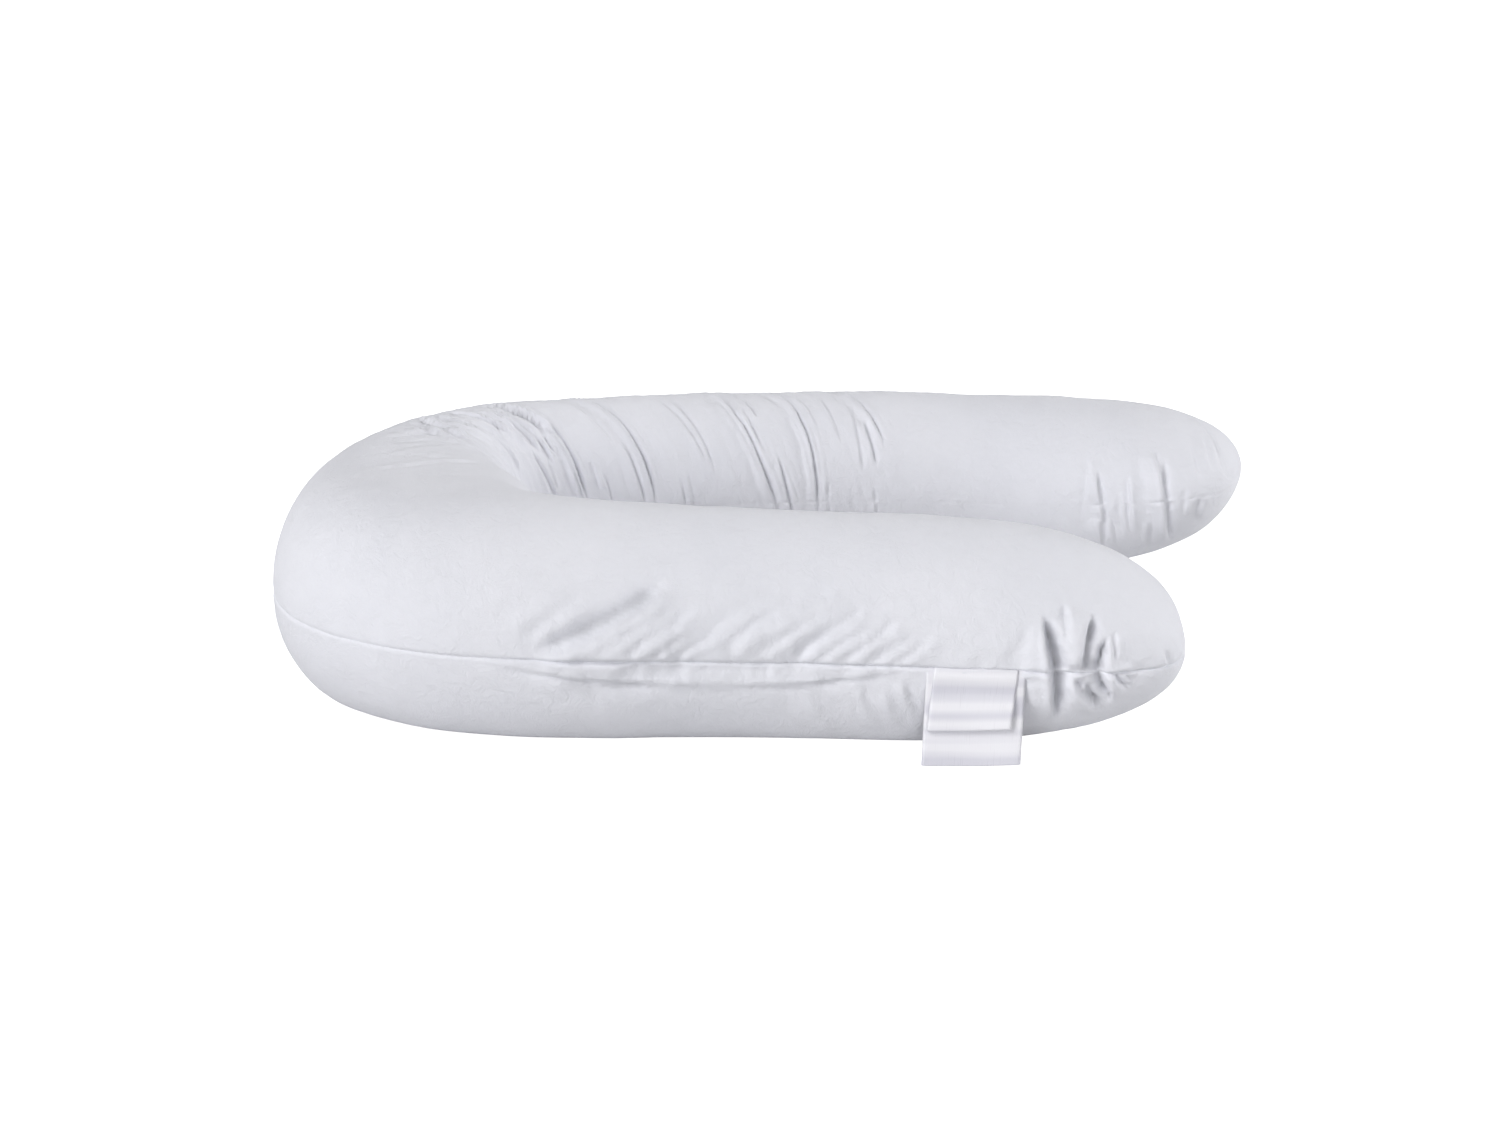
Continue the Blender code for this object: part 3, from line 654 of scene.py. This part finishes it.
class ClothColours(bpy.types.PropertyGroup):
    light: bpy.props.FloatVectorProperty(
        name="Cloth", description="Main colour of the cloth", default=(0.800, 0.804, 0.856), size=3, subtype="COLOR")
    shade: bpy.props.FloatVectorProperty(
        name="Cloth shade", description="Slightly darker patches of the cloth", default=(0.774, 0.780, 0.834), size=3,
        subtype="COLOR")
    # Painted shade: a darker colour that the cloth takes deep in its creases, in place of the shade that falls there.
    crease: bpy.props.FloatVectorProperty(
        name="Cloth crease", description="Cloth in the depth of a crease", default=(0.48, 0.485, 0.52), size=3,
        subtype="COLOR")
    satin: bpy.props.FloatVectorProperty(
        name="Satin", description="Colour of the labels", default=(0.85, 0.845, 0.89), size=3, subtype="COLOR")


class LabelSizes(bpy.types.PropertyGroup):
    along: bpy.props.FloatProperty(
        name="Place", description="Distance of the labels' middle from the front tip", default=0.229,
        subtype="DISTANCE", unit="LENGTH")
    long_width: bpy.props.FloatProperty(
        name="Long width", description="Width of the long label", default=0.104, subtype="DISTANCE", unit="LENGTH")
    long_drop: bpy.props.FloatProperty(
        name="Long drop", description="Drop of the long label", default=0.098, subtype="DISTANCE", unit="LENGTH")
    short_width: bpy.props.FloatProperty(
        name="Short width", description="Width of the short label", default=0.088, subtype="DISTANCE", unit="LENGTH")
    short_drop: bpy.props.FloatProperty(
        name="Short drop", description="Drop of the short label", default=0.059, subtype="DISTANCE", unit="LENGTH")


class StageSettings(bpy.types.PropertyGroup):
    lens: bpy.props.FloatProperty(
        name="Lens", description="Focal length in millimetres", default=50.0, min=20.0, max=200.0)
    floor_colour: bpy.props.FloatVectorProperty(
        name="Floor", description="Colour of the studio floor", default=(0.67, 0.67, 0.67), size=3, subtype="COLOR")
    floor_glow: bpy.props.FloatProperty(
        name="Floor glow", description="Even light that the white floor gives off", default=1.0, min=0.0)
    backdrop: bpy.props.FloatProperty(
        name="Backdrop", description="Brightness of the white wall beyond the floor", default=1.0, min=0.0)


def new_mesh_object(name, points, faces):
    """A smooth-shaded object of these points and faces, in the scene."""
    mesh = bpy.data.meshes.new(name)
    mesh.from_pydata(points, [], faces)
    mesh.update()
    obj = bpy.data.objects.new(name, mesh)
    bpy.context.scene.collection.objects.link(obj)
    for face in mesh.polygons:
        face.use_smooth = True
    return obj


def new_material(name):
    """A new material, with its shader."""
    material = bpy.data.materials.new(name)
    material.use_nodes = True
    return material, material.node_tree.nodes["Principled BSDF"]


def add_node(tree, kind, **inputs):
    """A new node with these values in its inputs, with _ for each space in an input's name."""
    node = tree.nodes.new(kind)
    for key, value in inputs.items():
        node.inputs[key.replace("_", " ")].default_value = value
    return node


def add_ramp(tree, factor, low, high):
    """The colour that runs from the low stop to the high one, each a position and a colour."""
    ramp = tree.nodes.new("ShaderNodeValToRGB")
    for element, (position, colour) in zip(ramp.color_ramp.elements, (low, high)):
        element.position = position
        element.color = (*colour, 1)
    tree.links.new(factor, ramp.inputs["Fac"])
    return ramp.outputs["Color"]


def add_roughness(tree, factor, shader, low, high):
    """Roughness that varies between two values."""
    rough = add_node(tree, "ShaderNodeMapRange", To_Min=low, To_Max=high)
    tree.links.new(factor, rough.inputs["Value"])
    tree.links.new(rough.outputs["Result"], shader.inputs["Roughness"])


def weave_cloth(colours):
    """Soft white cloth: a fine plain weave, faint crinkle, slightly uneven whiteness and painted shade deep in its
    creases.
    """
    material, shader = new_material("pillow_cloth")
    tree = material.node_tree
    links = tree.links
    shader.inputs["Sheen Weight"].default_value = 0.12
    shader.inputs["Sheen Roughness"].default_value = 0.6
    shader.inputs["Specular IOR Level"].default_value = 0.25
    place = tree.nodes.new("ShaderNodeTexCoord")
    patches = add_node(tree, "ShaderNodeTexNoise", Scale=5.0, Detail=3.0, Roughness=0.55)
    links.new(place.outputs["Object"], patches.inputs["Vector"])
    whiteness = add_ramp(tree, patches.outputs["Fac"], (0.38, colours.shade), (0.62, colours.light))
    # Painted shade: the darker crease colour is mixed into the cloth where the points lie deep in its folds.
    creases = tree.nodes.new("ShaderNodeAttribute")
    creases.attribute_name = "crease"
    shaded = tree.nodes.new("ShaderNodeMix")
    shaded.data_type = "RGBA"
    shaded.inputs["B"].default_value = (*colours.crease, 1)
    links.new(creases.outputs["Fac"], shaded.inputs["Factor"])
    links.new(whiteness, shaded.inputs["A"])
    links.new(shaded.outputs["Result"], shader.inputs["Base Color"])
    add_roughness(tree, patches.outputs["Fac"], shader, 0.78, 0.94)
    threads = tree.nodes.new("ShaderNodeMath")
    threads.operation = "MULTIPLY"
    for slot, direction in enumerate("XY"):
        wave = add_node(tree, "ShaderNodeTexWave", Scale=330.0, Distortion=0.6, Detail=1.0)
        wave.bands_direction = direction
        links.new(place.outputs["UV"], wave.inputs["Vector"])
        links.new(wave.outputs["Fac"], threads.inputs[slot])
    crinkle = add_node(tree, "ShaderNodeTexNoise", Scale=60.0, Detail=6.0, Roughness=0.68, Distortion=1.2)
    links.new(place.outputs["Object"], crinkle.inputs["Vector"])
    fine = add_node(tree, "ShaderNodeBump", Strength=0.35, Distance=0.0002)
    coarse = add_node(tree, "ShaderNodeBump", Strength=0.52, Distance=0.0036)
    links.new(crinkle.outputs["Fac"], coarse.inputs["Height"])
    links.new(threads.outputs["Value"], fine.inputs["Height"])
    links.new(coarse.outputs["Normal"], fine.inputs["Normal"])
    links.new(fine.outputs["Normal"], shader.inputs["Normal"])
    return material


def satin_ribbon(colours):
    """White satin ribbon: fine lengthwise threads, a low shine and soft bands of painted sheen across it."""
    material, shader = new_material("label_satin")
    tree = material.node_tree
    links = tree.links
    shader.inputs["Specular IOR Level"].default_value = 0.5
    shader.inputs["Sheen Weight"].default_value = 0.1
    place = tree.nodes.new("ShaderNodeTexCoord")
    streaks = tree.nodes.new("ShaderNodeMapping")
    streaks.inputs["Scale"].default_value = (900.0, 25.0, 1.0)
    links.new(place.outputs["UV"], streaks.inputs["Vector"])
    threads = add_node(tree, "ShaderNodeTexNoise", Scale=1.0, Detail=2.0)
    links.new(streaks.outputs["Vector"], threads.inputs["Vector"])
    shade = [0.98 * value for value in colours.satin]
    whiteness = add_ramp(tree, threads.outputs["Fac"], (0.3, shade), (0.7, colours.satin))
    # Painted sheen: soft light and dark bands across the ribbon stand in for the light that the satin catches.
    across = tree.nodes.new("ShaderNodeMapping")
    across.inputs["Scale"].default_value = (2.5, 52.0, 1.0)
    links.new(place.outputs["UV"], across.inputs["Vector"])
    bands = add_node(tree, "ShaderNodeTexNoise", Scale=1.0, Detail=1.0)
    links.new(across.outputs["Vector"], bands.inputs["Vector"])
    painted_sheen = add_ramp(tree, bands.outputs["Fac"], (0.34, (0.78, 0.78, 0.82)), (0.58, (1, 1, 1)))
    banded = tree.nodes.new("ShaderNodeMix")
    banded.data_type = "RGBA"
    banded.blend_type = "MULTIPLY"
    banded.inputs["Factor"].default_value = 1.0
    links.new(whiteness, banded.inputs["A"])
    links.new(painted_sheen, banded.inputs["B"])
    links.new(banded.outputs["Result"], shader.inputs["Base Color"])
    add_roughness(tree, threads.outputs["Fac"], shader, 0.24, 0.34)
    bump = add_node(tree, "ShaderNodeBump", Strength=0.1, Distance=0.0001)
    links.new(threads.outputs["Fac"], bump.inputs["Height"])
    links.new(bump.outputs["Normal"], shader.inputs["Normal"])
    return material


class BEDDING_OT_stuff_pillow(bpy.types.Operator):
    """Makes the stuffed tube with its creases, puckers and seam"""

    bl_idname = "bedding.stuff_pillow"
    bl_label = "Stuff Pillow"

    def execute(self, context):
        sizes = context.scene.pillow_sizes
        along = stations(sizes.ring_spacing, sizes.plain_spacing)
        grid, angle, seam_distance = section_grid(along)
        folds = TIP_PUCKERS + LEG_DIPS + BEND_WRINKLES + beside_folds(LEG_CREASES) + SEAM_TUCK
        push = limited(fold_push(along, angle, folds, sizes.fold_scale), HIGHEST_FOLD, DEEPEST_FOLD)
        push *= 1 - SEAM_HOLD * np.exp(-((seam_distance / SEAM_HOLD_WIDTH) ** 2))
        push += seam_push(along, angle, seam_distance, sizes)
        # Painted shade: points that lie deep in a fold or in the seam's groove take a share of the darker crease
        # colour.
        painted_shade_share = crease_shade(push)
        push += soft_push(along, angle, grid, seam_distance, sizes)
        push *= np.clip(tip_shares(along)[0] * 1.3, 0, 1)[:, None]
        off_floor = gentle(grid[:, :, 2], 0.0004, 0.012)
        moved = grid + surface_normals(grid) * (push * off_floor)[:, :, None]
        moved[:, :, 2] = np.maximum(moved[:, :, 2], 0)
        pillow = new_mesh_object("stuffed_pillow", *tube_mesh(moved))
        lay_weave(pillow.data, along, angle)
        # Each point's share of painted crease shade, for the cloth's colour.
        shade = pillow.data.attributes.new("crease", "FLOAT", "POINT")
        shade.data.foreach_set("value", np.append(painted_shade_share.ravel(), [0.0, 0.0]).astype(np.float32))
        face_out(pillow)
        pillow.data.materials.append(weave_cloth(context.scene.cloth_colours))
        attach(pillow, "root")
        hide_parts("pillow")
        return {"FINISHED"}


def face_out(obj):
    """Turns all the faces of a closed mesh outwards."""
    for other in bpy.context.selected_objects:
        other.select_set(False)
    obj.select_set(True)
    bpy.context.view_layer.objects.active = obj
    bpy.ops.object.mode_set(mode="EDIT")
    bpy.ops.mesh.select_all(action="SELECT")
    bpy.ops.mesh.normals_make_consistent(inside=False)
    bpy.ops.object.mode_set(mode="OBJECT")


def seam_point(along):
    """The place of the outer seam, seen from above."""
    out_x, out_y = outward(along)
    reach = HALF_WIDTH(along) * tip_shares(along)[0]
    return np.array([LINE_X(along) + out_x * reach, LINE_Y(along) + out_y * reach])


def ribbon_path(drop, lean, fold):
    """The folded ribbon seen from its edge, out from the seam and down: back layer, fold, then front layer."""
    share = np.linspace(0, 1, 33)
    tuck = RIBBON_TUCK * np.clip(1 - share * drop / RIBBON_TUCK_LENGTH, 0, 1) ** 2
    back = np.stack([lean * share**1.7 - tuck, -drop * share], axis=1)
    slope = np.gradient(back, axis=0)
    slope /= np.linalg.norm(slope, axis=1, keepdims=True)
    normal = np.stack([-slope[:, 1], slope[:, 0]], axis=1)
    turn = np.linspace(0, np.pi, 14)[1:-1]
    centre = back[-1] + normal[-1] * fold
    arc = centre - np.outer(np.cos(turn), normal[-1]) * fold + np.outer(np.sin(turn), slope[-1]) * fold
    gap = 2 * fold * (0.16 + 0.84 * gentle(share, 0.35, 1.0) ** 1.3)
    front = (back + normal * gap[:, None])[::-1]
    return np.concatenate([back, arc, front])


def make_label(kind, width, drop, along, colours):
    """A ribbon folded into a loop: both ends in the seam, its fold hanging and its edges curling."""
    spots = np.linspace(along - width / 2, along + width / 2, 21)
    seam = np.array([seam_point(spot) for spot in spots])
    run = (seam[0] - seam[-1]) / np.linalg.norm(seam[0] - seam[-1])
    out = np.array([run[1], -run[0]])
    bulge = float(np.max((seam - seam[0]) @ out))
    middle = (seam[0] + seam[-1]) / 2 + out * (bulge - RIBBON_SET_IN + kind.ahead)
    top = float(seam_height(along)) + RIBBON_ABOVE_SEAM
    path = ribbon_path(drop, kind.lean, kind.fold)
    steps = np.concatenate([[0], np.cumsum(np.linalg.norm(np.diff(path, axis=0), axis=1))])
    half = np.linspace(-1, 1, 41)
    points = []
    for reach, down in path:
        hang = min(1.0, -down / drop) if down < 0 else 0.0
        for side in half:
            curled = max(0.0, (abs(side) - (1 - RIBBON_CURL_SHARE)) / RIBBON_CURL_SHARE)
            curl = -RIBBON_CURL * curled**2 * (0.3 + 0.7 * hang)
            wave = 0.0007 * np.sin(3.1 * side + 2.0 * hang) * hang + 0.0009 * np.sin(11 * hang + 0.8) * hang
            place = middle + out * (reach + curl + wave) + run * (-side * width / 2)
            place = place + run * (-kind.tilt * drop * hang)
            points.append((place[0], place[1], top + down - RIBBON_DROOP * (1 + side) * hang))
    faces = []
    for row in range(len(path) - 1):
        for column_at in range(len(half) - 1):
            first = row * len(half) + column_at
            faces.append((first, first + 1, first + 1 + len(half), first + len(half)))
    label = new_mesh_object(kind.piece, points, faces)
    ribbon_map = label.data.uv_layers.new(name="ribbon")
    for loop in label.data.loops:
        row, column_at = divmod(loop.vertex_index, len(half))
        ribbon_map.data[loop.index].uv = (half[column_at] * width / 2, steps[row])
    cloth = label.modifiers.new("cloth", "SOLIDIFY")
    cloth.thickness = RIBBON_THICKNESS
    cloth.offset = 0.0
    bpy.context.view_layer.objects.active = label
    bpy.ops.object.modifier_apply(modifier=cloth.name)
    label.data.materials.append(satin_ribbon(colours))
    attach(label, "root")
    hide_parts(kind.node)


class BEDDING_OT_sew_labels(bpy.types.Operator):
    """Makes the two folded satin labels in the front seam"""

    bl_idname = "bedding.sew_labels"
    bl_label = "Sew Labels"

    def execute(self, context):
        sizes = context.scene.label_sizes
        colours = context.scene.cloth_colours
        make_label(LONG_LABEL, sizes.long_width, sizes.long_drop, sizes.along, colours)
        make_label(SHORT_LABEL, sizes.short_width, sizes.short_drop, sizes.along, colours)
        return {"FINISHED"}


def facing(turn, lift):
    """The direction, in radians to the right of the front and above the floor, as seen from the pillow."""
    return Vector((np.sin(turn) * np.cos(lift), -np.cos(turn) * np.cos(lift), np.sin(lift)))


def add_sun(lamp):
    """One broad light that shines towards the pillow."""
    light = bpy.data.lights.new(lamp.name, "SUN")
    light.angle = np.radians(lamp.spread)
    light.energy = lamp.strength
    sun = bpy.data.objects.new(lamp.name, light)
    bpy.context.scene.collection.objects.link(sun)
    towards = facing(np.radians(lamp.side), np.radians(lamp.lift))
    sun.location = towards * SUN_DISTANCE
    sun.rotation_euler = (-towards).to_track_quat("-Z", "Y").to_euler()
    return sun


def lay_floor(settings):
    """A matt floor that glows evenly without lighting the pillow."""
    bpy.ops.mesh.primitive_plane_add(size=FLOOR_SIZE, location=(0, 0, 0))
    floor = bpy.context.active_object
    floor.name = "studio_floor"
    material, shader = new_material("studio_floor")
    shader.inputs["Base Color"].default_value = (*settings.floor_colour, 1)
    shader.inputs["Roughness"].default_value = 0.9
    shader.inputs["Specular IOR Level"].default_value = 0.1
    shader.inputs["Emission Color"].default_value = (1, 1, 1, 1)
    shader.inputs["Emission Strength"].default_value = settings.floor_glow
    floor.data.materials.append(material)
    floor.light_linking.receiver_collection = bpy.data.collections.new("lit_by_floor_glow")
    floor.light_linking.receiver_collection.objects.link(floor)


def raise_backdrop(scene, settings):
    """A white wall all round that is seen but lights nothing."""
    world = bpy.data.worlds.new("studio")
    scene.world = world
    world.use_nodes = True
    background = world.node_tree.nodes["Background"]
    background.inputs["Color"].default_value = (1, 1, 1, 1)
    background.inputs["Strength"].default_value = settings.backdrop
    for ray in ("diffuse", "glossy", "transmission", "scatter"):
        setattr(world.cycles_visibility, ray, False)


def hang_lights():
    """All the studio lights. The pillow and its labels hold back the ones that shine up through the floor."""
    shading = bpy.data.collections.new("holds_back_light_under")
    for piece in ("stuffed_pillow", LONG_LABEL.piece, SHORT_LABEL.piece):
        shading.objects.link(bpy.data.objects[piece])
    for lamp in STUDIO_LIGHTS:
        sun = add_sun(lamp)
        if lamp.lift < 0:
            sun.light_linking.blocker_collection = shading


def aim_camera(scene, settings):
    """The camera, a little above the pillow and in front of it."""
    camera = bpy.data.cameras.new("camera")
    camera.lens = settings.lens
    camera.sensor_width = SENSOR_WIDTH
    eye = bpy.data.objects.new("camera", camera)
    scene.collection.objects.link(eye)
    back = facing(CAMERA_TURN, CAMERA_LIFT)
    eye.location = Vector(CAMERA_TARGET) + back * CAMERA_REACH
    eye.rotation_euler = (-back).to_track_quat("-Z", "Y").to_euler()
    scene.camera = eye


class BEDDING_OT_set_stage(bpy.types.Operator):
    """Makes the floor, the lights and the camera"""

    bl_idname = "bedding.set_stage"
    bl_label = "Set Stage"

    def execute(self, context):
        settings = context.scene.stage_settings
        lay_floor(settings)
        raise_backdrop(context.scene, settings)
        hang_lights()
        aim_camera(context.scene, settings)
        context.scene.view_settings.view_transform = "Standard"
        return {"FINISHED"}


class BEDDING_PT_pillow(bpy.types.Panel):
    """Every setting, and a button for each step"""

    bl_idname = "BEDDING_PT_pillow"
    bl_label = "Pregnancy Pillow"
    bl_space_type = "VIEW_3D"
    bl_region_type = "UI"
    bl_category = "Pillow"

    def draw(self, context):
        for group in ("pillow_sizes", "cloth_colours", "label_sizes", "stage_settings"):
            box = self.layout.box()
            settings = getattr(context.scene, group)
            for name in settings.__annotations__:
                box.prop(settings, name)
        for operator in OPERATORS:
            self.layout.operator(operator.bl_idname)


GROUPS = {
    "pillow_sizes": PillowSizes,
    "cloth_colours": ClothColours,
    "label_sizes": LabelSizes,
    "stage_settings": StageSettings,
}
OPERATORS = [BEDDING_OT_stuff_pillow, BEDDING_OT_sew_labels, BEDDING_OT_set_stage]


def register():
    """Adds the settings, the operators and the panel."""
    for group in GROUPS.values():
        bpy.utils.register_class(group)
    for operator in OPERATORS:
        bpy.utils.register_class(operator)
    bpy.utils.register_class(BEDDING_PT_pillow)
    for name, group in GROUPS.items():
        setattr(bpy.types.Scene, name, bpy.props.PointerProperty(type=group))


def unregister():
    """Takes the settings, the operators and the panel away again."""
    for name in GROUPS:
        delattr(bpy.types.Scene, name)
    bpy.utils.unregister_class(BEDDING_PT_pillow)
    for operator in reversed(OPERATORS):
        bpy.utils.unregister_class(operator)
    for group in reversed(list(GROUPS.values())):
        bpy.utils.unregister_class(group)


def main():
    """Builds the whole scene."""
    register()
    bpy.ops.bedding.stuff_pillow()
    bpy.ops.bedding.sew_labels()
    bpy.ops.bedding.set_stage()


if __name__ == "__main__":
    main()
